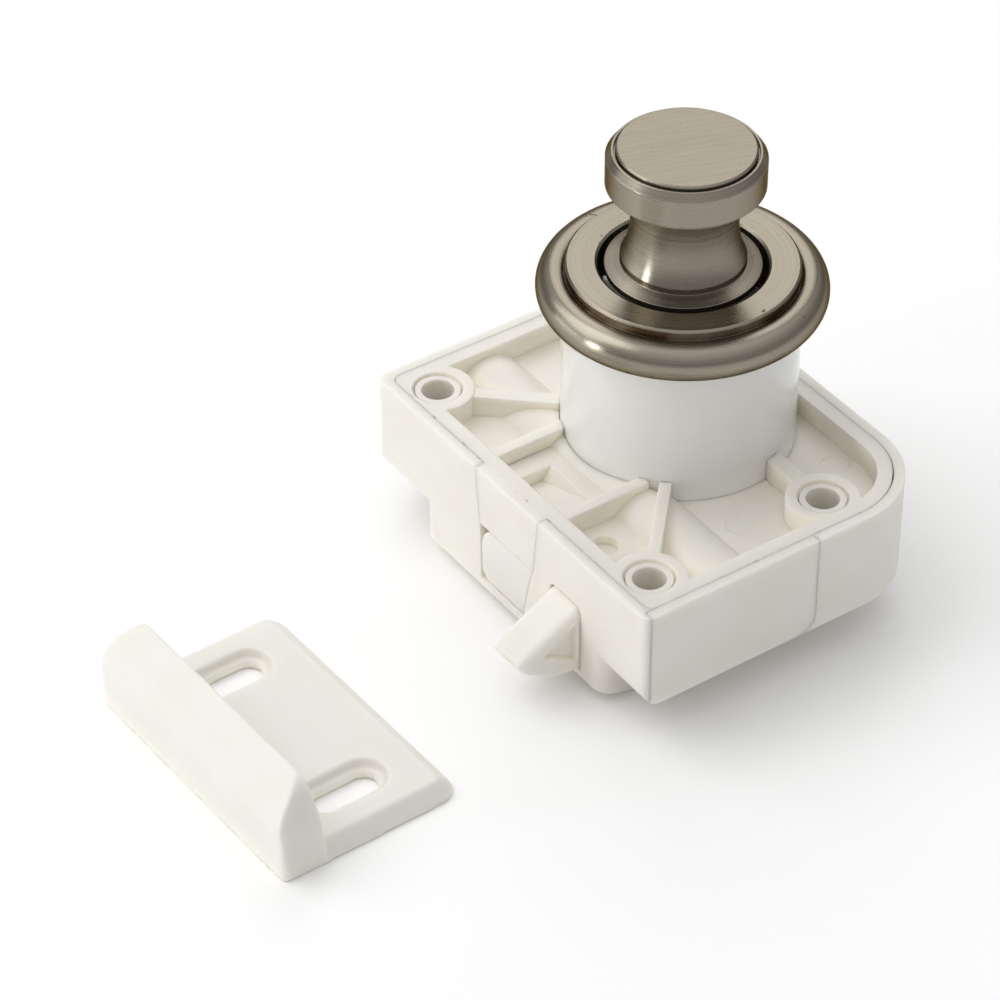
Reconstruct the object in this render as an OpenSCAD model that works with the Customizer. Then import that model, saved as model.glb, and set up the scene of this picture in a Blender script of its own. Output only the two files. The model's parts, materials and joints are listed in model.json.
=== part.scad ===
// Pushbutton latch for a cabinet door, with its strike plate.
// Z runs along the button and out through the door. Z = 0 is the door's inner face.
// The button's axis is X = 0, Y = 0, and the bolt points towards -Y.

/* [Case] */
// Width of the case along its bolt face
case_w = 50.5; // [50:0.5:54]
// Depth of the case from its bolt face to its back
case_d = 39.5; // [39:0.5:43]
// Distance from the button's axis to the bolt face
backset = 24.25; // [24.25:0.25:25]
// Sideways step from the button's axis to the middle of the case
axis_shift = 1.75; // [1.5:0.25:2]
// Height of the case behind the door
case_h = 12.2; // [12:0.2:14]
// Further depth of the hump under the bolt
hump_h = 5.2; // [5:0.2:6]
// Width of the hump
hump_w = 33.5; // [33:0.5:35]
// Step from the case's right side to the hump
hump_step = 7.7; // [7.5:0.1:8]
// Step from the case's back to the hump
hump_back = 5.35; // [5:0.05:5.5]
// Lean of the hump's left side
hump_lean = 1.6; // [0.8:0.2:2]
// Radius of the hump's upright corners
hump_r = 1.6; // [1:0.1:2]
// Height of the slant under the hump's front
slant_h = 1.5; // [1:0.1:1.6]
// Length of the slant under the hump's front
slant_l = 4.5; // [3:0.5:5]
// Thickness of the case's walls
wall = 1.8; // [1.6:0.1:2]
// Thickness of the case's floor
floor_t = 1.5; // [1.3:0.1:1.7]
// Thickness of the case's wall beside the front plate
lip = 1.2; // [1:0.1:1.3]
// Radius of the case's back corners
back_r = 10; // [8:0.5:10.5]
// Radius of the case's front corners
front_r = 1.1; // [0.8:0.1:1.3]
// Radius along the lower edge of the bolt face
edge_r = 2.2; // [1.8:0.1:2.6]

/* [Front plate] */
// Depth of the plate's sunk floor
recess = 2.8; // [2.4:0.1:3]
// Thickness of the plate's floor
plate_t = 1.6; // [1.5:0.1:1.8]
// Width of the plate's rim
rim_w = 1.75; // [1.5:0.05:1.9]
// Thickness of the plate's ribs
rib_t = 1.35; // [1:0.05:1.6]
// Radius of the two half-round covers
cover_r = 4.5; // [4.2:0.1:4.7]
// Height of the tab over the bolt face
tab_h = 7.3; // [7.2:0.1:7.5]
// Width of the tab at its top
tab_w = 11.65; // [11.4:0.05:12]
// Width of the tab at its lower edge
tab_foot_w = 10; // [9.8:0.1:10.4]

/* [Screw posts] */
// Distance from the case's sides to the screws
screw_side = 5.625; // [5.25:0.125:5.75]
// Spacing of the screws from front to back
screw_dy = 23; // [22.5:0.25:23.5]
// Distance from the bolt face to the first screws
screw_in = 4.5; // [4.4:0.05:4.8]
// Radius of the screw holes
screw_r = 1.85; // [1.7:0.05:1.9]

/* [Button] */
// Thickness of the door
door_t = 15; // [15:0.5:18]
// How far the button goes in
press = 14.5; // [13:0.25:14.5]
// Radius of the knob's head
head_r = 8.57; // [8.5:0.01:8.8]
// Height of the knob's head
head_h = 4.45; // [4:0.05:5]
// Radius of the disc on the knob's head
disc_r = 7.5; // [7:0.1:7.6]
// Height of the knob above its seat
knob_h = 15.4; // [15:0.1:17]
// Radius of the knob's waist
waist_r = 5.8; // [5.4:0.1:6]
// Radius of the knob's base flange
flange_r = 8.45; // [8.2:0.05:8.6]
// Radius of the plunger
plunger_r = 6.2; // [6:0.05:6.25]

/* [Rosette] */
// Outer radius of the rosette
rosette_r = 15.8; // [15.4:0.1:16.6]
// Radius of the rosette's rounded edge
bead_r = 2.1; // [1.9:0.05:2.2]
// Outer radius of the rosette's flat ring
ring_r = 12.7; // [12.4:0.1:12.9]
// Radius of the rosette's hole
rosette_bore = 9.2; // [9.1:0.05:9.4]
// Height of the rosette above the door
rosette_h = 4.64; // [4.4:0.02:5]
// Outer radius of the sleeve in the door
sleeve_r = 13; // [12.8:0.1:13.3]
// Thickness of the sleeve
sleeve_t = 1.7; // [1.5:0.1:1.8]

/* [Bolt] */
// How far the tongue stands out of the bolt face
tongue_out = 7.7; // [7:0.1:8.6]
// Width of the tongue
tongue_w = 5.5; // [5:0.1:5.7]
// Distance from the case's right side to the middle of the tongue
tongue_side = 14.35; // [14.2:0.05:14.45]
// Depth of the tongue's top below the door's inner face
tongue_top = 6.6; // [6.4:0.1:6.8]
// Radius of the tongue's underside
tongue_curve = 11.25; // [11:0.05:11.6]
// How far the bolt draws in
bolt_travel = 6; // [5:0.25:6]

/* [Strike plate] */
// Length of the strike plate
strike_l = 35; // [33:0.5:38]
// Width of the strike plate
strike_w = 22.2; // [21.5:0.1:24]
// Thickness of the strike plate's base
strike_t = 2; // [1.8:0.1:2.4]
// Height of the strike plate's ridge
ridge_h = 10.7; // [10.2:0.1:11.4]
// Thickness of the ridge at its foot
ridge_t = 5.5; // [5.2:0.1:5.8]
// Spacing of the slots
slot_dx = 21.5; // [20:0.5:23]
// Length of each slot
slot_l = 8; // [7:0.1:8.4]
// Width of each slot
slot_w = 3.2; // [3:0.1:3.6]

/* [Fits] */
// Gap between the front plate and the case
plate_gap = 0.05; // [0.04:0.01:0.1]
// Gap around pieces that slide in the case
slide_gap = 0.35; // [0.3:0.05:0.4]
// Gap between a turning or sliding bore and its shaft
shaft_gap = 0.04; // [0.03:0.01:0.06]
// Gap between pieces that are pushed together
push_gap = 0.05; // [0.03:0.01:0.08]
// Gap between the sleeve and the plate that carries it
sleeve_gap = 0.05; // [0.04:0.01:0.1]

/* [Hidden] */
$fn = 64;

creamy = [0.93, 0.91, 0.86];
bright = [0.95, 0.95, 0.92];
glossy = [0.96, 0.96, 0.96];
nickel = [0.62, 0.58, 0.52];
steel = [0.7, 0.7, 0.72];
acetal = [0.9, 0.9, 0.88];
over = 1;

// The case's outline and levels
case_x = [axis_shift - case_w / 2, axis_shift + case_w / 2];
case_y = [-backset, case_d - backset];
face_y = -backset;
case_z = -case_h;
base_z = -case_h - hump_h;
main_floor_z = case_z + floor_t;
hump_floor_z = base_z + floor_t;
plate_floor_z = -recess;
plate_z = -recess - plate_t;
hump_x = [case_x[1] - hump_step - hump_w, case_x[1] - hump_step];
hump_y = [face_y, case_y[1] - hump_back];
front_inner_y = face_y + wall;
rim_inset = lip + plate_gap + rim_w;

// The screws
post_wall = 0.7;
post_r = screw_r + post_wall;
post_gap = 0.06;
boss_wall = 1.2;
boss_groove = [0.24, 0.45];
boss_bore_r = post_r + post_gap;
boss_r = boss_bore_r + boss_groove[0] + boss_wall;
post_drop = 0.25;
screw_y = [face_y + screw_in, face_y + screw_in + screw_dy];
screw_x = [case_x[0] + screw_side, case_x[1] - screw_side];

// Levels along the button
ring_z = door_t + rosette_h;
flange_drop = 0.1;
flange_h = 0.64;
flange_z = ring_z - flange_drop;
knob_z = flange_z - flange_h;
top_z = knob_z + knob_h;
stop_gap = 0.5;
plunger_z = hump_floor_z + stop_gap + press;
guide_z = knob_z - press - stop_gap;
spigot_r = 4.9;
spigot_h = 4.7;
spigot_z = knob_z - spigot_h;
web_t = 2;
web_z = spigot_z - push_gap - web_t;
spring_bore_r = 4.3;
button_wire_r = 0.4;
button_coil_r = 3.5;
seat_post_r = 2.2;
seat_post_h = 5;
screw_shank_r = 1.45;
screw_head_r = 2.5;
screw_head_h = 1.6;
screw_grip = 3;

// The neck that carries the sleeve, and the collar of the rosette in it
neck_r = sleeve_r - sleeve_t - sleeve_gap;
neck_t = 1.6;
collar_h = 2.3;
neck_z = door_t - collar_h - 0.2;

// The heart-shaped track on the plunger's front and the slider that follows it
cam_x = [-4.1, 1.7];
cam_y = -7.6;
cam_end = 0.6;
track_x = [-3.3, 0.8];
track_y = -plunger_r - 0.05;
heart_x = [-2, -0.65];
tip_r = 0.5;
tip_end_y = track_y - 0.4;
tip_z = plunger_z + 1.2;
track_top_z = tip_z + press + 0.9;
heart_lead = 4;
heart_z = [tip_z + heart_lead, tip_z + press - 0.9];
heart_slope = 1.2;
heart_notch = 0.9;
follower_shift = 2.65;

// The shaft under the half-round covers
shaft_r = 1;
shaft_y = -11.35;
shaft_drop = 1.8;
shaft_z = plate_z - shaft_drop;
cover_z = plate_z - 1.2;
cover_core_r = 3;
lug_x = [10.4, 12];
lug_half = 1.9;
lug_drop = 1.8;
slider_half = 2.2;
slider_y = [shaft_y - 1.35, -8.9];
slider_z = [shaft_z - 1.7, plate_z - slide_gap];
arm_half = 1.1;
arm_t = 1.1;
arm_top_z = tip_z + 0.7;
follower_coil_r = 1.38;
follower_wire_r = 0.2;

// The tab, the window under it and the slot for the tongue
tab_x = axis_shift;
window_z = [-14.9, -tab_h];
window_foot_right = 4.95;
slot_room = 0.15;
tongue_x = case_x[1] - tongue_side;
tongue_span = [tongue_x - tongue_w / 2, tongue_x + tongue_w / 2];
tongue_foot_z = -14.9;

// The bolt
foot_gap = 0.2;
bolt_x = [tab_x - tab_foot_w / 2 - plate_gap + foot_gap, tongue_span[1]];
bolt_y = [front_inner_y + slide_gap, -17.6];
bolt_z = [hump_floor_z + slide_gap, -9.8];
foot_front_y = face_y + 0.05;
foot_z = [window_z[0] + foot_gap, -tab_h - foot_gap];
foot_right = [tab_x + tab_foot_w / 2 - foot_gap, window_foot_right - foot_gap];
foot_round = [2.4, 1.6];
guide_l = 4;
guide_t = 1.5;
bolt_spring_x = [2.2, tongue_x];
bolt_spring_z = -12.2;
bolt_bore_r = 1.9;
bolt_bore_y = face_y + 1.1;
bolt_coil_r = 1.35;
bolt_wire_r = 0.28;
bolt_seat_y = -9.5;
bolt_seat_t = 1.3;
bolt_seat_half = 2;
bolt_peg_r = 0.8;
bolt_peg_l = 1.2;

// The panel in the right-hand wall
panel_t = 1.2;
panel_y = [face_y + 0.75, -1.6];
panel_corner_r = 2.1;
panel_gap = 0.03;
peg_r = 0.8;
peg_l = 1.2;
peg_y = [-14, -6];
peg_z = -8;

// The strike plate's place on the surface that the latch lies on
strike_at = [-12.2, -67.4];
strike_turn = 1.8;
strike_edge = 0.5;
strike_chamfer = 1.6;
strike_corner_r = 2.4;
strike_front_r = 1;
ridge_wall_h = 6.2;
ridge_lean = 0.4;
ridge_break_h = 5.6;
ridge_end_r = 3.2;
ridge_end_x = 4.2;
ridge_end_turn = 15;
ridge_back = 0.9;
slot_y = 12.1;
slot_sink = 0.9;
slot_ledge = 0.65;
slot_slope = 0.45;

// Box between two corners given as spans
module box(x, y, z) {
    translate([x[0], y[0], z[0]])
        cube([x[1] - x[0], y[1] - y[0], z[1] - z[0]]);
}

// Rectangle between two spans
module area(x, y) {
    translate([x[0], y[0]])
        square([x[1] - x[0], y[1] - y[0]]);
}

// Rectangle between two spans with four round corners
module round_area(x, y, r) {
    area([x[0] + r, x[1] - r], y);
    area(x, [y[0] + r, y[1] - r]);
    for (cx = [x[0] + r, x[1] - r], cy = [y[0] + r, y[1] - r])
        translate([cx, cy])
            circle(r);
}

// Flat shape drawn in Y and Z, given thickness along X
module along_x(x) {
    translate([x[0], 0, 0])
        rotate([90, 0, 90])
            linear_extrude(x[1] - x[0])
                children();
}

// Flat shape drawn in X and Z, given thickness along Y
module along_y(y) {
    translate([0, y[1], 0])
        rotate([90, 0, 0])
            linear_extrude(y[1] - y[0])
                children();
}

// Flat shape drawn in X and Y, given height along Z
module along_z(z) {
    translate([0, 0, z[0]])
        linear_extrude(z[1] - z[0])
            children();
}

// Round bar along X
module bar_x(x, y, z, r) {
    translate([x[0], y, z])
        rotate([0, 90, 0])
            cylinder(h = x[1] - x[0], r = r);
}

// Round bar along Y
module bar_y(x, y, z, r) {
    translate([x, y[1], z])
        rotate([90, 0, 0])
            cylinder(h = y[1] - y[0], r = r);
}

// Round bar along Z
module bar_z(z, r) {
    translate([0, 0, z[0]])
        cylinder(h = z[1] - z[0], r = r);
}

// Outline of the case, set in all round, with small front and large back corners
module case_plan(inset, front, back) {
    x = [case_x[0] + inset, case_x[1] - inset];
    y = [case_y[0] + inset, case_y[1] - inset];
    area([x[0] + front, x[1] - front], [y[0], y[0] + front]);
    area(x, [y[0] + front, y[1] - back]);
    area([x[0] + back, x[1] - back], [y[1] - back, y[1]]);
    for (side = [0, 1]) {
        turn = side == 0 ? 1 : -1;
        translate([x[side] + turn * front, y[0] + front])
            circle(front);
        translate([x[side] + turn * back, y[1] - back])
            circle(back);
    }
}

// What is left over in a corner outside a rounding, drawn from the corner
module corner_waste(r) {
    difference() {
        translate([-over, -over])
            square(r + over);
        translate([r, r])
            circle(r);
    }
}

// Repeats its children at the four screws
module at_screws() {
    for (x = screw_x, y = screw_y)
        translate([x, y, 0])
            children();
}

// Point on a spring, as [across, along, up] round an axis that runs along the third value.
// The first and the last turn lie close, as on a spring with closed ends.
function coil_rise(t, turns, length, wire_r) =
    let (closed = 2.1 * wire_r)
    let (free = (length - 2 * closed) / (turns - 2))
    t < 1 ? t * closed : t > turns - 1 ? length - (turns - t) * closed : closed + (t - 1) * free;

coil_steps = 12;
wire_sides = 6;

function coil_ring(t, turns, length, r, wire_r) =
    let (turn = t * 360)
    let (rise = coil_rise(t, turns, length, wire_r))
    [for (i = [0 : wire_sides - 1])
        let (a = i * 360 / wire_sides)
        let (out = r + wire_r * cos(a))
        [out * cos(turn), out * sin(turn), rise + wire_r * sin(a)]];

// Coil spring along Z whose wire lies between Z = 0 and Z = length
module spring(length, r, wire_r, turns) {
    rings = turns * coil_steps;
    run = length - 2 * wire_r;
    points = [for (k = [0 : rings]) each coil_ring(k / coil_steps, turns, run, r, wire_r)];
    skin = [for (k = [0 : rings - 1], i = [0 : wire_sides - 1])
        let (a = k * wire_sides + i)
        let (b = k * wire_sides + (i + 1) % wire_sides)
        each [[a, a + wire_sides, b + wire_sides], [a, b + wire_sides, b]]];
    start = [[for (i = [0 : wire_sides - 1]) i]];
    end = [[for (i = [wire_sides - 1 : -1 : 0]) rings * wire_sides + i]];
    translate([0, 0, wire_r])
        polyhedron(points = points, faces = concat(skin, start, end), convexity = 10);
}

// Side view of the case's outer shape, with its rounded lower front edge
module case_side() {
    difference() {
        area(case_y, [case_z, 0]);
        translate([face_y, case_z])
            corner_waste(edge_r);
    }
}

// Side view of the hump, with the slant under its front
module hump_side() {
    polygon([
        [face_y, case_z + edge_r], [face_y, base_z + slant_h], [face_y + slant_l, base_z],
        [hump_y[1], base_z], [hump_y[1], case_z + edge_r]
    ]);
}

// Front view of the hump, with its leaning left side
module hump_front() {
    polygon([
        [hump_x[0], case_z + edge_r], [hump_x[0], case_z], [hump_x[0] + hump_lean, base_z],
        [hump_x[1], base_z], [hump_x[1], case_z + edge_r]
    ]);
}

// Side view of the panel, grown all round by a gap
module panel_side(gap) {
    y = [panel_y[0] - gap, panel_y[1] + gap];
    r = panel_corner_r;
    area(y, [case_z + r, over]);
    area([y[0], y[1] - r], [case_z - over, case_z + r]);
    translate([y[1] - r, case_z + r])
        circle(r);
}

// Front view of the tab, grown at the sides by a gap
module tab_front(gap) {
    top = tab_w / 2 + gap;
    foot = tab_foot_w / 2 + gap;
    polygon([
        [tab_x - top, 0], [tab_x + top, 0], [tab_x + foot, -tab_h], [tab_x - foot, -tab_h]
    ]);
}

// Front view of the window that the bolt's foot shows in
module window_front() {
    half = tab_foot_w / 2 + plate_gap;
    polygon([
        [tab_x - half, window_z[1]], [tab_x + half, window_z[1]],
        [window_foot_right, window_z[0]], [tab_x - half + 0.2, window_z[0]]
    ]);
}

// Front view of the slot for the tongue, with rounded upper corners
module tongue_slot() {
    x = [tongue_span[0] - slot_room, tongue_span[1] + slot_room];
    z = [tongue_foot_z - slot_room, -tongue_top + slot_room];
    round_area(x, z, shoulder_r);
    area(x, [z[0], z[1] - 2 * shoulder_r]);
}

module housing_shell() {
    intersection() {
        along_z([case_z, 0])
            case_plan(0, front_r, back_r);
        along_x([case_x[0] - over, case_x[1] + over])
            case_side();
    }
    intersection() {
        along_x(hump_x)
            hump_side();
        along_y([hump_y[0] - over, hump_y[1] + over])
            hump_front();
        along_z([base_z - over, case_z + edge_r + over])
            round_area(hump_x, hump_y, hump_r);
    }
}

module housing_hollow() {
    along_z([plate_z, over])
        case_plan(lip, front_r, back_r - lip);
    along_z([main_floor_z, plate_z + over])
        case_plan(wall, front_r, back_r - wall);
    box([hump_x[0] + hump_lean + wall, hump_x[1] - wall], [front_inner_y, hump_y[1] - wall],
        [hump_floor_z, main_floor_z + over]);
}

module housing_openings() {
    along_y([face_y - over, front_inner_y + over])
        union() {
            tab_front(plate_gap);
            area([tab_x - tab_w / 2 - plate_gap, tab_x + tab_w / 2 + plate_gap], [0, over]);
            window_front();
        }
    along_y([face_y - over, front_inner_y + over])
        tongue_slot();
    along_x([case_x[1] - panel_t - panel_gap, case_x[1] + over])
        panel_side(panel_gap);
    for (y = peg_y)
        bar_x([case_x[1] - wall - over, case_x[1]], y, peg_z, peg_r + push_gap);
}

// Posts, guides and spring seats that stand on the case's floors
module housing_inside() {
    at_screws()
        bar_z([main_floor_z - over, -post_drop], post_r);
    bar_z([hump_floor_z - over, hump_floor_z + seat_post_h], seat_post_r);
    guide_y = [front_inner_y - over, bolt_y[1] + guide_l];
    guide_top_z = bolt_z[1] - 0.6;
    for (x = [[bolt_x[0] - slide_gap - guide_t, bolt_x[0] - slide_gap],
              [bolt_x[1] + slide_gap, hump_x[1] - wall + over / 2]])
        box(x, guide_y, [hump_floor_z - over, guide_top_z]);
    box([bolt_spring_x[0] - bolt_seat_half, bolt_spring_x[1] + bolt_seat_half],
        [bolt_seat_y, bolt_seat_y + bolt_seat_t], [hump_floor_z - over, bolt_z[1]]);
    for (x = bolt_spring_x)
        bar_y(x, [bolt_seat_y - bolt_peg_l, bolt_seat_y + over], bolt_spring_z, bolt_peg_r);
}

module housing() {
    color(creamy)
        difference() {
            union() {
                difference() {
                    housing_shell();
                    housing_hollow();
                }
                intersection() {
                    housing_inside();
                    union() {
                        housing_shell();
                        along_z([main_floor_z, 0])
                            case_plan(0, front_r, back_r);
                    }
                }
            }
            housing_openings();
            at_screws()
                bar_z([base_z, over], screw_r);
        }
}

module side_panel() {
    color(creamy) {
        intersection() {
            along_x([case_x[1] - panel_t, case_x[1]])
                intersection() {
                    panel_side(0);
                    case_side();
                }
            along_z([case_z, 0])
                case_plan(0, front_r, back_r);
        }
        for (y = peg_y)
            bar_x([case_x[1] - panel_t - peg_l, case_x[1] - panel_t + over / 2], y, peg_z, peg_r);
    }
}

// Upright rib between two points, from the plate's floor up to its rim
module rib(from, to, t) {
    run = to - from;
    translate([from[0], from[1], plate_z])
        rotate([0, 0, atan2(run[1], run[0])])
            translate([0, -t / 2, 0])
                cube([norm(run), t, -plate_z - rib_drop]);
}
rib_drop = 0.2;
rib_foot_x = [-5, 8];
broad_rib_t = 1.7;
back_rib_t = 1.9;
back_rib_rise = 1.6;
rim_inner_y = face_y + rim_inset;
platform_x = [-4.3, 7.3];
platform_y = [rim_inner_y, -8];
platform_z = -2;
pocket_x = [-1.7, 5.6];
pocket_y = [rim_inner_y, -16];
pocket_depth = 1.7;
pocket_slant = 1.2;
peep_at = [11.9, -18.7];
peep_r = 1.6;
peep_floor = 0.5;
mark_r = 1.6;
mark_depth = 0.12;
marks = [[17.5, -4.7], [15.2, 10.1]];
inner_back_r = 7;
plate_back_r = back_r + 0.3;

// Ribs that run from the rim and the bosses to the foot of the sleeve
module plate_ribs() {
    for (x = rib_foot_x)
        rib([x, rim_inner_y - over / 2], [x, -sleeve_r * 0.8], rib_t);
    for (x = screw_x) {
        front = [x, screw_y[0]];
        back = [x, screw_y[1]];
        rib(front, front * 0.45, x < 0 ? broad_rib_t : rib_t);
        rib(back, back * 0.5 + [0, back_rib_rise], back_rib_t);
    }
}

// Sunk wedge beside the rim: deep at its left end, level with the platform at its right end
module plate_pocket() {
    deep_z = platform_z - pocket_depth;
    intersection() {
        along_y([pocket_y[0], pocket_y[1] + over])
            polygon([
                [pocket_x[0], deep_z], [pocket_x[1], platform_z], [pocket_x[1], over],
                [pocket_x[0], over]
            ]);
        along_x([pocket_x[0] - over, pocket_x[1] + over])
            polygon([
                [pocket_y[0], deep_z - over], [pocket_y[1] - pocket_slant, deep_z - over],
                [pocket_y[1] - pocket_slant, deep_z], [pocket_y[1], platform_z],
                [pocket_y[1], over], [pocket_y[0], over]
            ]);
    }
}

// Half-round covers over the shaft, and the bosses round the screw posts
module plate_top() {
    difference() {
        union() {
            plate_ribs();
            bar_x(case_x, shaft_y, cover_z, cover_r);
            box(platform_x, platform_y, [plate_z, platform_z]);
            at_screws()
                bar_z([plate_z, 0], boss_r);
        }
        bar_z([plate_floor_z, over], sleeve_r + sleeve_gap);
    }
    bar_z([plate_z, neck_z], neck_r);
}

// Lugs under the plate that carry the shaft
module plate_lugs() {
    for (side = [-1, 1])
        translate([side * (lug_x[0] + lug_x[1]) / 2, shaft_y, 0])
            translate([-(lug_x[1] - lug_x[0]) / 2, -lug_half, shaft_z - lug_drop])
                cube([lug_x[1] - lug_x[0], 2 * lug_half, plate_z - shaft_z + lug_drop + over / 2]);
}

module plate_holes() {
    at_screws() {
        bar_z([plate_z - over, over], boss_bore_r);
        bar_z([-boss_groove[1], over], boss_bore_r + boss_groove[0]);
    }
    bar_z([guide_z, neck_z + over], neck_r - neck_t);
    bar_z([plate_z - over, guide_z + over], plunger_r + slide_gap);
    box([cam_x[0] - slide_gap, cam_x[1] + slide_gap], [cam_y - slide_gap, 0],
        [plate_z - over, guide_z + over]);
    box([-follower_shift - arm_half - slide_gap, arm_half + slide_gap],
        [slider_y[1] - arm_t - slide_gap, 0], [plate_z - over, arm_top_z + slide_gap]);
    plate_pocket();
    translate([peep_at[0], peep_at[1], 0])
        bar_z([plate_z + peep_floor, over], peep_r);
    for (at = marks)
        translate([at[0], at[1], 0])
            bar_z([plate_floor_z - mark_depth, over], mark_r);
    core_in = [rim_inset + 0.6, lug_x[1] + 0.8];
    for (x = [[case_x[0] + core_in[0], -core_in[1]], [core_in[1], case_x[1] - core_in[0]]])
        bar_x(x, shaft_y, cover_z, cover_core_r);
    bar_x([-lug_x[1] - over, lug_x[1] + over], shaft_y, shaft_z, shaft_r + push_gap);
}

module front_plate() {
    plate_inset = lip + plate_gap;
    color(creamy)
        difference() {
            union() {
                along_z([plate_z, plate_floor_z])
                    case_plan(plate_inset, front_r, plate_back_r - plate_inset);
                along_z([plate_z, 0])
                    difference() {
                        case_plan(plate_inset, front_r, plate_back_r - plate_inset);
                        case_plan(rim_inset, front_r, inner_back_r);
                        circle(sleeve_r + sleeve_gap);
                    }
                intersection() {
                    plate_top();
                    along_z([plate_z, neck_z])
                        case_plan(plate_inset, front_r, plate_back_r - plate_inset);
                }
                along_y([face_y, face_y + rim_inset - rim_w])
                    tab_front(0);
                box([tab_x - tab_foot_w / 2, tab_x + tab_foot_w / 2],
                    [face_y, face_y + rim_inset], [plate_z, plate_floor_z]);
                plate_lugs();
            }
            plate_holes();
        }
}

module door_sleeve() {
    color(glossy)
        difference() {
            bar_z([plate_floor_z, door_t], sleeve_r);
            bar_z([plate_floor_z - over, door_t + over], sleeve_r - sleeve_t);
        }
}

module rosette() {
    step = 0.25;
    bead_z = door_t + 1.6;
    web_top_z = bead_z + bead_r * 0.85;
    color(nickel)
        rotate_extrude($fn = 128) {
            polygon([
                [rosette_bore, door_t], [ring_r, door_t], [ring_r, ring_z - step],
                [ring_r - step, ring_z], [rosette_bore + step, ring_z], [rosette_bore, ring_z - step]
            ]);
            area([rosette_bore + step, rosette_r - bead_r], [door_t, web_top_z]);
            difference() {
                translate([rosette_r - bead_r, bead_z])
                    circle(bead_r);
                area([0, rosette_r + over], [bead_z - 2 * bead_r, door_t]);
            }
            area([neck_r - neck_t, neck_r], [door_t - collar_h, door_t + over / 2]);
        }
}

module push_knob() {
    break_w = 0.18;
    lead = 0.62;
    ledge = 0.45;
    groove_w = 0.2;
    groove_d = 0.35;
    undercut = 0.37;
    flange_rise = 0.5;
    head_z = top_z - head_h;
    waist_top_z = head_z - 0.4;
    flare_z = flange_z + 1.2;
    waist_mid_z = (waist_top_z + flare_z) / 2;
    flare_r = waist_r + 1;
    half = waist_mid_z - flare_z;
    bow = flare_r - waist_r;
    bow_r = (half * half + bow * bow) / (2 * bow);
    color(nickel)
        difference() {
            rotate_extrude($fn = 128)
                difference() {
                    polygon([
                        [0, top_z], [disc_r - break_w, top_z], [disc_r, top_z - break_w],
                        [disc_r, top_z - ledge - groove_d],
                        [disc_r + groove_w, top_z - ledge - groove_d],
                        [disc_r + groove_w, top_z - ledge], [head_r - lead, top_z - ledge],
                        [head_r, top_z - ledge - 0.8], [head_r, head_z], [head_r - undercut, head_z],
                        [head_r - undercut, waist_top_z], [flare_r, waist_top_z], [flare_r, flare_z],
                        [flare_r, flange_z + flange_rise], [flange_r, flange_z], [flange_r, knob_z],
                        [spigot_r, knob_z], [spigot_r, spigot_z], [0, spigot_z]
                    ]);
                    intersection() {
                        translate([waist_r + bow_r, waist_mid_z])
                            circle(bow_r);
                        area([0, head_r], [flare_z, waist_top_z]);
                    }
                }
            bar_z([spigot_z - over, spigot_z + screw_grip + 0.5], screw_shank_r + push_gap);
        }
}

module knob_screw() {
    slot_half = 0.35;
    reach = 1.4;
    depth = 0.9;
    head_z = web_z - screw_head_h;
    color(steel)
        difference() {
            union() {
                bar_z([head_z, web_z], screw_head_r);
                bar_z([head_z, spigot_z + screw_grip], screw_shank_r);
            }
            for (turn = [0, 90])
                rotate([0, 0, turn])
                    box([-reach, reach], [-slot_half, slot_half], [head_z - over, head_z + depth]);
        }
}

// Heart-shaped island in the plunger's track
module heart() {
    mid = (heart_x[0] + heart_x[1]) / 2;
    polygon([
        [mid, heart_z[0]], [heart_x[1], heart_z[0] + heart_slope], [heart_x[1], heart_z[1]],
        [mid, heart_z[1] - heart_notch], [heart_x[0], heart_z[1]],
        [heart_x[0], heart_z[0] + heart_slope]
    ]);
}

module plunger() {
    color(acetal) {
        difference() {
            union() {
                bar_z([plunger_z, knob_z], plunger_r);
                box(cam_x, [cam_y, 0], [plunger_z, knob_z - cam_end]);
            }
            bar_z([spigot_z - push_gap, knob_z + over], spigot_r + push_gap);
            bar_z([web_z - over, knob_z], screw_shank_r + 0.15);
            bar_z([plunger_z - over, web_z], spring_bore_r);
            box(track_x, [cam_y - over, track_y], [plunger_z - over, track_top_z]);
        }
        along_y([cam_y, track_y])
            heart();
    }
}

module plunger_spring() {
    color(steel)
        translate([0, 0, hump_floor_z])
            spring(web_z - hump_floor_z, button_coil_r, button_wire_r, 9);
}

module cam_follower() {
    color(acetal)
        difference() {
            union() {
                box([-slider_half, slider_half], slider_y, slider_z);
                box([-arm_half, arm_half], [slider_y[1] - arm_t, slider_y[1]], [slider_z[0], arm_top_z]);
            }
            bar_x([-slider_half - over, slider_half + over], shaft_y, shaft_z, shaft_r + shaft_gap);
            bar_y(0, [slider_y[1] - arm_t - over, slider_y[1] + over], tip_z, tip_r + push_gap / 2);
        }
}

module follower_pin() {
    color(steel)
        bar_y(0, [slider_y[1] - arm_t, tip_end_y], tip_z, tip_r);
}

module cross_shaft() {
    color(steel)
        bar_x([-lug_x[1], lug_x[1]], shaft_y, shaft_z, shaft_r);
}

// Light spring on the shaft between the slider and one lug
module follower_spring(side) {
    color(steel)
        translate([side * slider_half, shaft_y, shaft_z])
            rotate([0, side * 90, 0])
                spring(lug_x[0] - slider_half, follower_coil_r, follower_wire_r, 7);
}

module follower_spring_left() {
    follower_spring(-1);
}

module follower_spring_right() {
    follower_spring(1);
}

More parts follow.
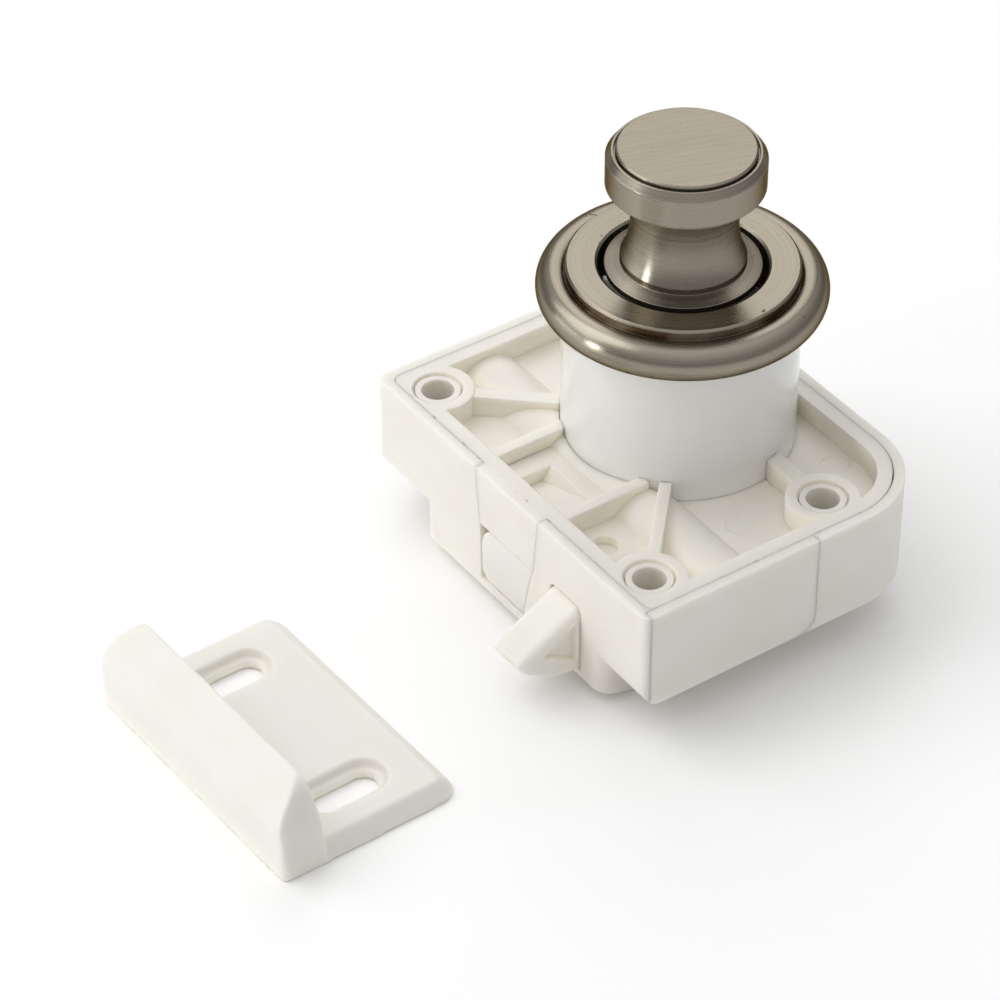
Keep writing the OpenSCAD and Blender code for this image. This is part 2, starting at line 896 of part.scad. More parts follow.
// Side view of the tongue: slanted top, blunt nose and round underside
module tongue_profile() {
    curve_y = root_y - 0.1;
    drop = tan(tongue_slope) * (root_y - nose_y);
    intersection() {
        translate([curve_y, tongue_foot_z + tongue_curve])
            circle(tongue_curve, $fn = 128);
        polygon([
            [root_y, -tongue_top], [nose_y, -tongue_top - drop], [nose_y, tongue_foot_z],
            [root_y, tongue_foot_z]
        ]);
    }
    area([curve_y, bolt_y[0] + over], [tongue_foot_z, -tongue_top]);
}

// Tongue seen from above, with rounded nose corners
module tongue_plan() {
    area(tongue_span, [nose_y + nose_r, bolt_y[0] + over]);
    area([tongue_span[0] + nose_r, tongue_span[1] - nose_r], [nose_y, nose_y + nose_r]);
    for (x = [tongue_span[0] + nose_r, tongue_span[1] - nose_r])
        translate([x, nose_y + nose_r])
            circle(nose_r);
}
nose_r = 0.9;
nose_y = face_y - tongue_out;
root_y = face_y + 0.25;
tongue_slope = 29.5;
shoulder_r = 1.1;

// Bar through the tongue's root, leaning by an angle, with rounded shoulders
module tongue_bar(lean) {
    reach = 3 * tongue_out;
    translate([0, root_y, -tongue_top])
        rotate([lean, 0, 0])
            along_y([-reach, reach])
                round_area(tongue_span, [-reach, 0], shoulder_r);
}

// Three-cornered hollow in the tongue's right side
module tongue_hollow() {
    polygon([
        [face_y - hollow_rim, -tongue_top - hollow_drop],
        [face_y - hollow_reach, -tongue_top - hollow_fall],
        [face_y - hollow_rim, tongue_foot_z + hollow_foot]
    ]);
}
hollow_rim = 0.4;
hollow_drop = 1.9;
hollow_reach = 4.7;
hollow_fall = 4.6;
hollow_foot = 1.3;
hollow_t = 0.7;

// Front view of the bolt's broad foot, with two rounded left corners
module foot_front() {
    x = bolt_x[0] + 0.05;
    top = foot_round[0];
    low = foot_round[1];
    polygon([
        [x + top, foot_z[1]], [foot_right[0], foot_z[1]], [foot_right[1], foot_z[0]],
        [x + low, foot_z[0]], [x, foot_z[0] + low], [x, foot_z[1] - top]
    ]);
    translate([x + top, foot_z[1] - top])
        circle(top);
    translate([x + low, foot_z[0] + low])
        circle(low);
}

module latch_bolt() {
    color(bright)
        difference() {
            union() {
                intersection() {
                    along_x(tongue_span)
                        tongue_profile();
                    along_z([tongue_foot_z - over, -tongue_top + over])
                        tongue_plan();
                    tongue_bar(0);
                    tongue_bar(tongue_slope);
                }
                along_y([foot_front_y, bolt_y[0] + over])
                    foot_front();
                box(bolt_x, bolt_y, bolt_z);
            }
            along_x([tongue_span[1] - hollow_t, tongue_span[1] + over])
                tongue_hollow();
            for (x = bolt_spring_x)
                bar_y(x, [bolt_bore_y, bolt_y[1] + over], bolt_spring_z, bolt_bore_r);
        }
}

// Spring between the bolt and its seat
module bolt_spring(x) {
    color(steel)
        translate([x, bolt_seat_y, bolt_spring_z])
            rotate([90, 0, 0])
                spring(bolt_seat_y - bolt_bore_y, bolt_coil_r, bolt_wire_r, 9);
}

module bolt_spring_left() {
    bolt_spring(bolt_spring_x[0]);
}

module bolt_spring_right() {
    bolt_spring(bolt_spring_x[1]);
}

// Base of the strike plate, with a sloping edge on three sides
module strike_base() {
    flat = [strike_chamfer, strike_l - strike_chamfer];
    straight_y = strike_w - strike_corner_r;
    along_y([0, straight_y])
        polygon([
            [0, 0], [strike_l, 0], [strike_l, strike_edge], [flat[1], strike_t], [flat[0], strike_t],
            [0, strike_edge]
        ]);
    along_x([strike_corner_r, strike_l - strike_corner_r])
        polygon([
            [0, 0], [strike_w, 0], [strike_w, strike_edge], [strike_w - strike_chamfer, strike_t],
            [0, strike_t]
        ]);
    for (x = [strike_corner_r, strike_l - strike_corner_r])
        translate([x, straight_y, 0]) {
            bar_z([0, strike_edge], strike_corner_r);
            translate([0, 0, strike_edge])
                cylinder(h = strike_t - strike_edge, r1 = strike_corner_r,
                         r2 = strike_corner_r - strike_chamfer);
        }
}

// Ridge seen from the front, with leaning ends and rounded upper corners
module ridge_front() {
    low = [ridge_lean, ridge_break_h];
    start = [ridge_end_x - ridge_end_r * cos(ridge_end_turn),
             ridge_h - ridge_end_r + ridge_end_r * sin(ridge_end_turn)];
    polygon([
        [0, 0], [strike_l, 0], [strike_l - low[0], low[1]], [strike_l - start[0], start[1]],
        [strike_l - ridge_end_x, ridge_h], [ridge_end_x, ridge_h], start, low
    ]);
    for (x = [ridge_end_x, strike_l - ridge_end_x])
        translate([x, ridge_h - ridge_end_r])
            circle(ridge_end_r);
}

// Ridge that the bolt catches behind: upright front and round top
module strike_ridge() {
    crest_y = ridge_t - ridge_back;
    top_r = 6;
    rise = ridge_h - ridge_wall_h;
    chord = norm([crest_y, rise]);
    lift = sqrt(top_r * top_r - chord * chord / 4);
    centre = [crest_y / 2 + lift * rise / chord, (ridge_wall_h + ridge_h) / 2 - lift * crest_y / chord];
    intersection() {
        along_x([0, strike_l])
            union() {
                area([0, crest_y], [0, ridge_wall_h]);
                polygon([[crest_y, 0], [ridge_t, 0], [ridge_t, strike_t], [crest_y, ridge_h - 0.3]]);
                intersection() {
                    translate(centre)
                        circle(top_r, $fn = 128);
                    area([0, crest_y], [0, ridge_h]);
                }
            }
        along_y([-over, ridge_t + over])
            ridge_front();
    }
}

// Long hole with a sunk ledge round it
module strike_slot() {
    r = slot_w / 2;
    half = slot_l / 2 - r;
    ledge_r = r + slot_ledge;
    sink_z = strike_t - slot_sink;
    for (side = [-1, 1])
        translate([0, side * half, 0]) {
            bar_z([-over, strike_t + over], r);
            translate([0, 0, sink_z])
                cylinder(h = slot_sink, r1 = ledge_r, r2 = ledge_r + slot_slope);
        }
    box([-r, r], [-half, half], [-over, strike_t + over]);
    along_y([-half, half])
        polygon([
            [-ledge_r, sink_z], [ledge_r, sink_z], [ledge_r + slot_slope, strike_t],
            [-ledge_r - slot_slope, strike_t]
        ]);
}

// Strike plate seen from above, with rounded front corners
module strike_plan() {
    r = strike_front_r;
    area([0, strike_l], [r, strike_w + over]);
    area([r, strike_l - r], [0, r]);
    for (x = [r, strike_l - r])
        translate([x, r])
            circle(r);
}

module strike_plate() {
    color(bright)
        translate([strike_at[0], strike_at[1], base_z])
            rotate([0, 0, strike_turn])
                difference() {
                    intersection() {
                        union() {
                            strike_base();
                            strike_ridge();
                        }
                        along_z([-over, ridge_h + over])
                            strike_plan();
                    }
                    for (side = [-1, 1])
                        translate([(strike_l + side * slot_dx) / 2, slot_y, 0])
                            strike_slot();
                }
}

housing();
side_panel();
front_plate();
door_sleeve();
rosette();
push_knob();
knob_screw();
plunger();
plunger_spring();
cam_follower();
follower_pin();
cross_shaft();
follower_spring_left();
follower_spring_right();
latch_bolt();
bolt_spring_left();
bolt_spring_right();
strike_plate();
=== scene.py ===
# %% [markdown]
# # A pushbutton latch, dressed for its picture
# The construction arrives as a set of finished solids, each already in its place.
# Everything below gives those solids their finish: moulded plastic, glossy tube and brushed nickel.
# The first cell loads the solids and keeps their outer box, which places the table just under them.

# %% Load the frame
import json
import math
import bpy
from mathutils import Matrix, Vector


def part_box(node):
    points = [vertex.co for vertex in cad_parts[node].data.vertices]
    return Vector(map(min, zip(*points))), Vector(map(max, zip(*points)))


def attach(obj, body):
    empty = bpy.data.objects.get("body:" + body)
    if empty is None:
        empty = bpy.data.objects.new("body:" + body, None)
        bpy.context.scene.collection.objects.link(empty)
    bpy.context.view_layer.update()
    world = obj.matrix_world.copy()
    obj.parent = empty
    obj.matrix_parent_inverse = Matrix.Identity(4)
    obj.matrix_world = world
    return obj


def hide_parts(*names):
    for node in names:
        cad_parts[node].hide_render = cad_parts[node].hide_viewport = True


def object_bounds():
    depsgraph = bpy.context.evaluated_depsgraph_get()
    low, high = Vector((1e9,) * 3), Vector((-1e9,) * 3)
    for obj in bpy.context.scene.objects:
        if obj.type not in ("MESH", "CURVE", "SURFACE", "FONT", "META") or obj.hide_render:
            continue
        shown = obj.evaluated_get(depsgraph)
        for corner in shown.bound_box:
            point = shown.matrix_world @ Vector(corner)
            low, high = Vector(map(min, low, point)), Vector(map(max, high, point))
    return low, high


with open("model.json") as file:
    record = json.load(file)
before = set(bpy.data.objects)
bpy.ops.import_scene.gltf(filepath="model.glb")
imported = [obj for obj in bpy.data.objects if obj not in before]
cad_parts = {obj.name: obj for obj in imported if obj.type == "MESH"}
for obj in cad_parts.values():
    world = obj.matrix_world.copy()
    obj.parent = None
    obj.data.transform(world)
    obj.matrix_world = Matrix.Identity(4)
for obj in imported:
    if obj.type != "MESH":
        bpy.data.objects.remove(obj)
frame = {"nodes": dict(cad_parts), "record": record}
nodes = frame["nodes"]
cad_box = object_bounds()
print("solids:", len(nodes), "box:", [round(v, 4) for c in cad_box for v in c])

# %% [markdown]
# ## The camera
# The picture was taken with a long lens, from the bolt's side and from above.
# A camera is easiest to place by the direction it looks from: an azimuth round the button,
# an elevation above the table, a distance and the point that falls in the middle of the picture.

# %% Place the camera
MM = 0.001
VIEW_AZIMUTH = math.radians(55.245)
VIEW_ELEVATION = math.radians(39.247)
VIEW_ROLL = math.radians(-0.136)
VIEW_DISTANCE = 435.8 * MM
VIEW_SIDE = -19.584 * MM
VIEW_HEIGHT = -13.286 * MM
LENS = 140.2
SENSOR = 36.0
CLIP_NEAR = 0.01
CLIP_FAR = 10


def look_from(azimuth, elevation, roll):
    """Right, up and back directions of a camera."""
    flat = math.cos(elevation)
    back = Vector((math.sin(azimuth) * flat, -math.cos(azimuth) * flat, math.sin(elevation)))
    right = Vector((math.cos(azimuth), math.sin(azimuth), 0))
    up = back.cross(right)
    turned = right * math.cos(roll) + up * math.sin(roll)
    return turned, back.cross(turned), back


def make_camera():
    """Camera that sees the latch as the photograph does."""
    right, up, back = look_from(VIEW_AZIMUTH, VIEW_ELEVATION, VIEW_ROLL)
    target = right * VIEW_SIDE + Vector((0, 0, VIEW_HEIGHT))
    data = bpy.data.cameras.new("picture_camera")
    data.lens = LENS
    data.sensor_width = SENSOR
    data.clip_start = CLIP_NEAR
    data.clip_end = CLIP_FAR
    camera = bpy.data.objects.new("picture_camera", data)
    bpy.context.scene.collection.objects.link(camera)
    turn = Matrix((right, up, back)).transposed().to_4x4()
    camera.matrix_world = Matrix.Translation(target + back * VIEW_DISTANCE) @ turn
    bpy.context.scene.camera = camera
    return camera


camera = make_camera()
print("camera at", [round(v, 3) for v in camera.location])

# %% [markdown]
# ## A small kit for materials
# A material is a net of nodes. A few helpers keep the nets below short: they start a material,
# add a node with its settings and links, and mix, stretch or compare what other nodes give.
# All patterns read Object coordinates, which are metres here, so a scale of 1000 means one millimetre.

# %% Helpers for node materials
NOISE_RANGE = (0.3, 0.7)
NOISE_MIDDLE = (0.35, 0.65)
# The Mix node has one set of sockets for each kind of data, and these are its colours.
MIX_COLOURS = (6, 7)
MIX_RESULT = 2


def start_material(name):
    """New material, with its node tree and its shader."""
    material = bpy.data.materials.new(name)
    material.use_nodes = True
    tree = material.node_tree
    return material, tree, tree.nodes["Principled BSDF"]


def feed(tree, node, values=(), links=()):
    """Set a node's plain values and its incoming links."""
    for key, value in dict(values).items():
        node.inputs[key].default_value = value
    for key, source in dict(links).items():
        tree.links.new(source, node.inputs[key])


def add_node(tree, kind, settings=(), values=(), links=()):
    """New node with its properties, its socket values and its incoming links set."""
    made = tree.nodes.new("ShaderNode" + kind)
    for key, value in dict(settings).items():
        setattr(made, key, value)
    feed(tree, made, values, links)
    return made


def object_place(tree):
    """Place on the object, in metres."""
    return add_node(tree, "TexCoord").outputs["Object"]


def noise(tree, place, scale, detail=3.0, roughness=0.5):
    """Soft noise between 0 and 1."""
    made = add_node(
        tree, "TexNoise",
        values={"Scale": scale, "Detail": detail, "Roughness": roughness},
        links={"Vector": place},
    )
    return made.outputs["Fac"]


def spread(tree, source, low, high, to_low, to_high):
    """Source between low and high, stretched to another range and kept inside it."""
    made = add_node(
        tree, "MapRange",
        values={"From Min": low, "From Max": high, "To Min": to_low, "To Max": to_high},
        links={"Value": source},
    )
    return made.outputs["Result"]


def math_node(tree, operation, a, b=None):
    """Sum, product or the like of two values, each a socket or a number."""
    made = add_node(tree, "Math", {"operation": operation})
    for index, value in enumerate((a, b)):
        if value is None:
            continue
        if isinstance(value, (int, float)):
            made.inputs[index].default_value = value
        else:
            tree.links.new(value, made.inputs[index])
    return made.outputs[0]


def away_from(tree, source, middle):
    """How far a value lies from a middle, on either side."""
    return math_node(tree, "ABSOLUTE", math_node(tree, "SUBTRACT", source, middle))


def product(tree, a, b, c):
    """Product of three values."""
    return math_node(tree, "MULTIPLY", math_node(tree, "MULTIPLY", a, b), c)


def blend_colours(tree, factor, first, second):
    """Colour between two, each a socket or a triple of numbers."""
    made = add_node(tree, "Mix", {"data_type": "RGBA"}, links={"Factor": factor})
    for index, colour in zip(MIX_COLOURS, (first, second)):
        if isinstance(colour, tuple):
            made.inputs[index].default_value = (*colour, 1)
        else:
            tree.links.new(colour, made.inputs[index])
    return made.outputs[MIX_RESULT]


print("material helpers ready")

# %% [markdown]
# ## Edges, creases and bumps
# Three more helpers change how a surface catches the light without moving a single vertex.
# The first rounds every sharp edge a little, the second finds narrow gaps, holes and inner corners,
# which the plastics use as a mask for painted light, and the third turns a pattern into fine bumps.

# %% Helpers for the surface
EDGE_SAMPLES = 6
CREASE_SAMPLES = 4
OPEN_FACE = 0.95
DEEP_CREASE = 0.35


def soft_edges(tree, radius):
    """Normal that rounds every sharp edge by a small radius."""
    return add_node(tree, "Bevel", {"samples": EDGE_SAMPLES}, {"Radius": radius}).outputs["Normal"]


def creases(tree, reach):
    """0 on open faces and up to 1 in narrow gaps, holes and inner corners."""
    made = add_node(tree, "AmbientOcclusion", {"samples": CREASE_SAMPLES}, {"Distance": reach})
    return spread(tree, made.outputs["AO"], OPEN_FACE, DEEP_CREASE, 0.0, 1.0)


def bumps(tree, height, strength, distance, normal=None):
    """Normal that follows a height pattern."""
    links = {"Height": height}
    if normal is not None:
        links["Normal"] = normal
    values = {"Strength": strength, "Distance": distance}
    return add_node(tree, "Bump", values=values, links=links).outputs["Normal"]


print("surface helpers ready")

# %% [markdown]
# ## Specks in the seam
# Where the front plate meets the case there is a fine seam, and a little brown dirt has settled in it.
# The specks are a noise that is cut off high, so that only its peaks are left,
# and that is kept to a narrow band along the front and the right seam.

# %% Dirt along the seams
CASE_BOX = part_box("housing")
SEAM_IN = 1.22 * MM
SEAM_HALF = 0.16 * MM
SEAM_LEVEL = -0.3 * MM
SPECK_SCALE = 700
SPECK_PEAKS = (0.58, 0.66)
SPECK_STRENGTH = 0.8
SPECK = (0.20, 0.13, 0.06)


def seam_specks(tree, place):
    """Specks of dirt along the case's front and right seams, on its upper face only."""
    parts = add_node(tree, "SeparateXYZ", links={"Vector": place}).outputs
    front = away_from(tree, parts["Y"], CASE_BOX[0].y + SEAM_IN)
    right = away_from(tree, parts["X"], CASE_BOX[1].x - SEAM_IN)
    near = spread(tree, math_node(tree, "MINIMUM", front, right), 0.0, SEAM_HALF, 1.0, 0.0)
    upper = math_node(tree, "GREATER_THAN", parts["Z"], SEAM_LEVEL)
    spots = spread(tree, noise(tree, place, SPECK_SCALE), *SPECK_PEAKS, 0.0, SPECK_STRENGTH)
    return product(tree, near, upper, spots)


print("seams", round(SEAM_IN / MM, 2), "mm inside the case's edge")

# %% [markdown]
# ## Moulded plastic
# The case is cream-white plastic straight from the mould: satin, with a breath of unevenness,
# a fine grain and edges that are never quite sharp. Light goes a little way into it and comes out
# warmer, so the shader scatters light under the skin. Gaps, holes and corners are also painted a
# lighter, warmer tone, as painted light for the light that bounces and glows through the plastic
# there.

# %% Moulded plastics
PAINTED_CREASE_GLOW = (0.95, 0.90, 0.79)
PAINTED_GLOW_REACH = 3.0 * MM
CLOUD_SCALE = 160
SHEEN_SCALE = 420
SHEEN_SPREAD = 0.05
GRAIN_SCALE = 3200
GRAIN_HEIGHT = 0.06 * MM
SINK_SHARE = 0.9
EVEN_SINK = (1.0, 1.0, 1.0)


def moulded_plastic(name, colour, shade, satin, grain, edge, depth, specks=False):
    """Plastic between two close tones, with painted light in its creases, a grain, soft edges and
    light that sinks in.
    """
    material, tree, shader = start_material(name)
    place = object_place(tree)
    cloud = spread(tree, noise(tree, place, CLOUD_SCALE, 4), *NOISE_MIDDLE, 0.0, 1.0)
    tone = blend_colours(tree, cloud, colour, shade)
    # Painted light: gaps, holes and inner corners get a lighter, warmer colour in place of the light
    # that bounces and glows through the plastic there.
    tone = blend_colours(tree, creases(tree, PAINTED_GLOW_REACH), tone, PAINTED_CREASE_GLOW)
    if specks:
        tone = blend_colours(tree, seam_specks(tree, place), tone, SPECK)
    dull, shiny = satin + SHEEN_SPREAD, satin - SHEEN_SPREAD
    sheen = spread(tree, noise(tree, place, SHEEN_SCALE), *NOISE_RANGE, shiny, dull)
    fine = noise(tree, place, GRAIN_SCALE, 2)
    normal = bumps(tree, fine, grain, GRAIN_HEIGHT, soft_edges(tree, edge))
    feed(
        tree, shader,
        values={
            "Subsurface Weight": SINK_SHARE,
            "Subsurface Radius": EVEN_SINK,
            "Subsurface Scale": depth,
        },
        links={"Base Color": tone, "Roughness": sheen, "Normal": normal},
    )
    return material


case_plastic = moulded_plastic(
    "case_plastic", colour=(0.81, 0.787, 0.728), shade=(0.79, 0.762, 0.695),
    satin=0.42, grain=0.12, edge=0.16 * MM, depth=1.0 * MM, specks=True,
)
bolt_plastic = moulded_plastic(
    "bolt_plastic", colour=(0.80, 0.785, 0.738), shade=(0.785, 0.765, 0.71),
    satin=0.40, grain=0.10, edge=0.2 * MM, depth=1.0 * MM,
)
slider_plastic = moulded_plastic(
    "slider_plastic", colour=(0.78, 0.78, 0.75), shade=(0.74, 0.74, 0.70),
    satin=0.35, grain=0.08, edge=0.15 * MM, depth=0.6 * MM,
)
print("plastics:", case_plastic.name, bolt_plastic.name, slider_plastic.name)

# %% [markdown]
# ## The glossy sleeve
# The tube through the door is a smooth, glossy white plastic that mirrors the plate at its foot.
# A thin clear coat over a low roughness gives that look, and a very faint waviness keeps it real.

# %% Glossy plastic
GLOSSY_WHITE = (0.80, 0.795, 0.765)
GLOSSY_PALE = (0.83, 0.825, 0.80)
GLOSSY_CLOUD_SCALE = 90
GLOSSY_SHEEN_SCALE = 500
GLOSSY_SHEEN = (0.14, 0.20)
GLOSSY_EDGE = 0.2 * MM
WAVE_SCALE = 140
WAVE_STRENGTH = 0.05
WAVE_HEIGHT = 0.1 * MM
WARM_SINK = (1.0, 0.9, 0.75)


def glossy_plastic(name):
    """White plastic with a clear coat and a faint waviness."""
    material, tree, shader = start_material(name)
    place = object_place(tree)
    cloud = noise(tree, place, GLOSSY_CLOUD_SCALE, 2)
    tone = blend_colours(tree, cloud, GLOSSY_WHITE, GLOSSY_PALE)
    sheen = spread(tree, noise(tree, place, GLOSSY_SHEEN_SCALE), *NOISE_RANGE, *GLOSSY_SHEEN)
    edges = soft_edges(tree, GLOSSY_EDGE)
    waves = bumps(tree, noise(tree, place, WAVE_SCALE, 1), WAVE_STRENGTH, WAVE_HEIGHT, edges)
    feed(
        tree, shader,
        values={
            "Coat Weight": 0.4,
            "Coat Roughness": 0.06,
            "Subsurface Weight": 0.2,
            "Subsurface Radius": WARM_SINK,
            "Subsurface Scale": 0.8 * MM,
        },
        links={"Base Color": tone, "Roughness": sheen, "Normal": waves},
    )
    return material


sleeve_plastic = glossy_plastic("sleeve_plastic")
print("sleeve:", sleeve_plastic.name)

# %% [markdown]
# ## Where the brush ran
# Knob and rosette were turned, brushed and nickel plated. On the turned sides the brush ran round,
# so the fine lines are rings; on the flat top of the knob it ran straight across.
# Rings come from a noise that only knows the distance from the axis and the height.
# Straight lines come from a noise that is turned and then drawn out along the brush.

# %% Places for rings and straight lines
BRUSH_ANGLE = math.radians(-19)
BRUSH_STRETCH = 50
BRUSH_WAY = (-math.sin(BRUSH_ANGLE), math.cos(BRUSH_ANGLE), 0.0)


def ring_place(tree, place):
    """Distance from the axis and height, as a place for ring-shaped patterns."""
    parts = add_node(tree, "SeparateXYZ", links={"Vector": place}).outputs
    across = math_node(tree, "POWER", parts["X"], 2.0)
    deep = math_node(tree, "POWER", parts["Y"], 2.0)
    distance = math_node(tree, "SQRT", math_node(tree, "ADD", across, deep))
    joined = add_node(tree, "CombineXYZ", links={"X": distance, "Y": parts["Z"]})
    return joined.outputs["Vector"], distance, parts["Z"]


def straight_place(tree, place):
    """Place squeezed along the brush, for straight lines."""
    turned = add_node(
        tree, "Mapping", {"vector_type": "TEXTURE"},
        values={"Rotation": (0, 0, BRUSH_ANGLE), "Scale": (1, BRUSH_STRETCH, 1)},
        links={"Vector": place},
    )
    return turned.outputs["Vector"]


print("straight brush along", [round(v, 3) for v in BRUSH_WAY])

# %% [markdown]
# ## Wear on the rosette
# The rosette isn't quite clean in the photograph. Brown dirt sits in the groove round its raised ring,
# thicker in some places than in others, and a few dark pits show in the plating.

# %% Groove dirt and pits
GROOVE_RADIUS = 12.85 * MM
GROOVE_ABOVE = 17.9 * MM
GROOVE_HALF = 0.14 * MM
GROOVE_DIRT = (0.12, 0.07, 0.04)
PATCH_SCALE = 260
PATCH_PEAKS = (0.42, 0.6)
PATCH_STRENGTH = (0.25, 0.95)
PIT_SCALE = 640
PIT_PEAKS = (0.70, 0.74)
PIT_STRENGTH = 0.8
PIT = (0.06, 0.045, 0.03)


def add_wear(tree, place, tone, distance, height):
    """Tone with dirt in the groove and a few pits."""
    near = away_from(tree, distance, GROOVE_RADIUS)
    inside = spread(tree, near, GROOVE_HALF, GROOVE_HALF * 2, 1.0, 0.0)
    high = math_node(tree, "GREATER_THAN", height, GROOVE_ABOVE)
    patchy = spread(tree, noise(tree, place, PATCH_SCALE, 4), *PATCH_PEAKS, *PATCH_STRENGTH)
    tone = blend_colours(tree, product(tree, inside, high, patchy), tone, GROOVE_DIRT)
    pits = spread(tree, noise(tree, place, PIT_SCALE, 2), *PIT_PEAKS, 0.0, PIT_STRENGTH)
    return blend_colours(tree, pits, tone, PIT)


print("dirty groove at radius", round(GROOVE_RADIUS / MM, 2), "mm")

# %% [markdown]
# ## Brushed nickel
# Fine grooves spread a highlight across themselves, which the shader calls anisotropy.
# It stretches highlights along the tangent, and the tangent here runs along the grooves,
# so the highlight is given a quarter turn.

# %% Brushed nickel
KNOB_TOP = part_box("push_knob")[1].z
TOP_DEPTH = 0.1 * MM
RING_LINES = 9000
STRAIGHT_LINES = 8000
LINE_ROUGHNESS = 0.65
LINE_STRENGTH = 0.10
LINE_HEIGHT = 0.02 * MM
NICKEL_SHEEN = (0.22, 0.32)
NICKEL_EDGE = 0.12 * MM
NICKEL_DARK = (0.262, 0.234, 0.188)
NICKEL_LIGHT = (0.345, 0.312, 0.256)
NICKEL_RIM = (0.22, 0.17, 0.11, 1)
QUARTER_TURN = 0.25


def brushed_nickel(name, straight_above=None, worn=False):
    """Nickel with brushed rings, straight lines above a height and wear where it is asked for."""
    material, tree, shader = start_material(name)
    place = object_place(tree)
    rings, distance, height = ring_place(tree, place)
    lines = noise(tree, rings, RING_LINES, 3, LINE_ROUGHNESS)
    grain = add_node(tree, "Tangent", {"direction_type": "RADIAL", "axis": "Z"}).outputs["Tangent"]
    if straight_above is not None:
        on_top = math_node(tree, "GREATER_THAN", height, straight_above)
        across = noise(tree, straight_place(tree, place), STRAIGHT_LINES, 3, LINE_ROUGHNESS)
        lines = add_node(tree, "Mix", links={"Factor": on_top, "A": lines, "B": across}).outputs[0]
        grain = blend_colours(tree, on_top, grain, BRUSH_WAY)
    streaks = spread(tree, lines, *NOISE_MIDDLE, 0.0, 1.0)
    tone = blend_colours(tree, streaks, NICKEL_DARK, NICKEL_LIGHT)
    if worn:
        tone = add_wear(tree, place, tone, distance, height)
    sheen = spread(tree, lines, *NOISE_RANGE, *NICKEL_SHEEN)
    normal = bumps(tree, lines, LINE_STRENGTH, LINE_HEIGHT, soft_edges(tree, NICKEL_EDGE))
    feed(
        tree, shader,
        values={
            "Metallic": 1.0,
            "Specular Tint": NICKEL_RIM,
            "Anisotropic": 0.75,
            "Anisotropic Rotation": QUARTER_TURN,
        },
        links={"Base Color": tone, "Roughness": sheen, "Normal": normal, "Tangent": grain},
    )
    return material


knob_nickel = brushed_nickel("knob_nickel", straight_above=KNOB_TOP - TOP_DEPTH)
rosette_nickel = brushed_nickel("rosette_nickel", worn=True)
print("nickel:", knob_nickel.name, rosette_nickel.name)

# %% [markdown]
# ## Steel inside
# The shaft, the pin, the screw and the springs are plain drawn steel. They hardly show,
# but a part is looked at from inside too, so they get a fine grain and a slightly uneven shine.

# %% Drawn steel
STEEL_SCALE = 2600
STEEL_SHEEN = (0.22, 0.34)
STEEL_STRENGTH = 0.08
STEEL_DARK = (0.48, 0.48, 0.50)
STEEL_LIGHT = (0.62, 0.62, 0.63)


def drawn_steel(name):
    """Plain steel with a fine grain."""
    material, tree, shader = start_material(name)
    grain = noise(tree, object_place(tree), STEEL_SCALE, 4, 0.6)
    tone = blend_colours(tree, grain, STEEL_DARK, STEEL_LIGHT)
    sheen = spread(tree, grain, *NOISE_RANGE, *STEEL_SHEEN)
    normal = bumps(tree, grain, STEEL_STRENGTH, LINE_HEIGHT)
    feed(
        tree, shader,
        values={"Metallic": 1.0},
        links={"Base Color": tone, "Roughness": sheen, "Normal": normal},
    )
    return material


steel = drawn_steel("drawn_steel")
print("steel:", steel.name)

# %% [markdown]
# ## Dressing the solids
# Each solid takes the finish that its material slot in the record asks for;
# the two nickel pieces differ, because only the knob has a straight-brushed top.

# %% Give every solid its finish
FINISH = {
    "case_plastic": case_plastic,
    "bolt_plastic": bolt_plastic,
    "slider_plastic": slider_plastic,
    "sleeve_plastic": sleeve_plastic,
    "steel": steel,
}
NICKEL = {"push_knob": knob_nickel, "rosette": rosette_nickel}


def slot_of(name):
    """Material slot of a solid in the record."""
    return next(row["material_slot"] for row in frame["record"]["subparts"] if row["node"] == name)


def finish_of(name):
    """Material of a solid, from its slot in the record."""
    return NICKEL.get(name) or FINISH[slot_of(name)]


for name, solid in nodes.items():
    solid.data.materials.clear()
    solid.data.materials.append(finish_of(name))
print("dressed:", len(nodes), "solids")

# %% [markdown]
# ## Rounding the moulded edges
# A mould never leaves a knife edge, and the bolt and the strike plate, which rub on each other,
# have the softest edges of all. A bevel would have to find its way round every short edge,
# so their copies get an even skin of small faces instead, which is then smoothed a few times:
# flat faces stay flat and every edge turns round. The solids themselves stay as they are;
# a copy rides on the same body and takes the solid's place in the picture.

# %% Soft-edged copies of the bolt and the strike plate
MERGE = 0.001 * MM
SMOOTHING = 0.5
SOFT_PIECES = {
    "latch_bolt": {"face_size": 0.16 * MM, "rounds": 12},
    "strike_plate": {"face_size": 0.2 * MM, "rounds": 8},
}


def body_of(name):
    """Body that a solid rides on."""
    bodies = frame["record"]["behaviour"]["bodies"]
    return next(body for body, members in bodies.items() if name in members)


def soft_copy(name, face_size, rounds):
    """Copy of a solid with its edges worn round, which takes the solid's place."""
    piece = bpy.data.objects.new(name + "_soft", nodes[name].data.copy())
    bpy.context.scene.collection.objects.link(piece)
    bpy.ops.object.select_all(action="DESELECT")
    piece.select_set(True)
    bpy.context.view_layer.objects.active = piece
    bpy.ops.object.mode_set(mode="EDIT")
    bpy.ops.mesh.select_all(action="SELECT")
    bpy.ops.mesh.remove_doubles(threshold=MERGE)
    bpy.ops.object.mode_set(mode="OBJECT")
    skin = piece.modifiers.new("even_skin", "REMESH")
    skin.mode = "VOXEL"
    skin.voxel_size = face_size
    bpy.ops.object.modifier_apply(modifier=skin.name)
    worn = piece.modifiers.new("worn_edges", "SMOOTH")
    worn.factor = SMOOTHING
    worn.iterations = rounds
    bpy.ops.object.modifier_apply(modifier=worn.name)
    bpy.ops.object.shade_smooth()
    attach(piece, body_of(name))
    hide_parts(name)
    return piece


for name, softness in SOFT_PIECES.items():
    piece = soft_copy(name, **softness)
    print(piece.name, len(piece.data.polygons), "faces")
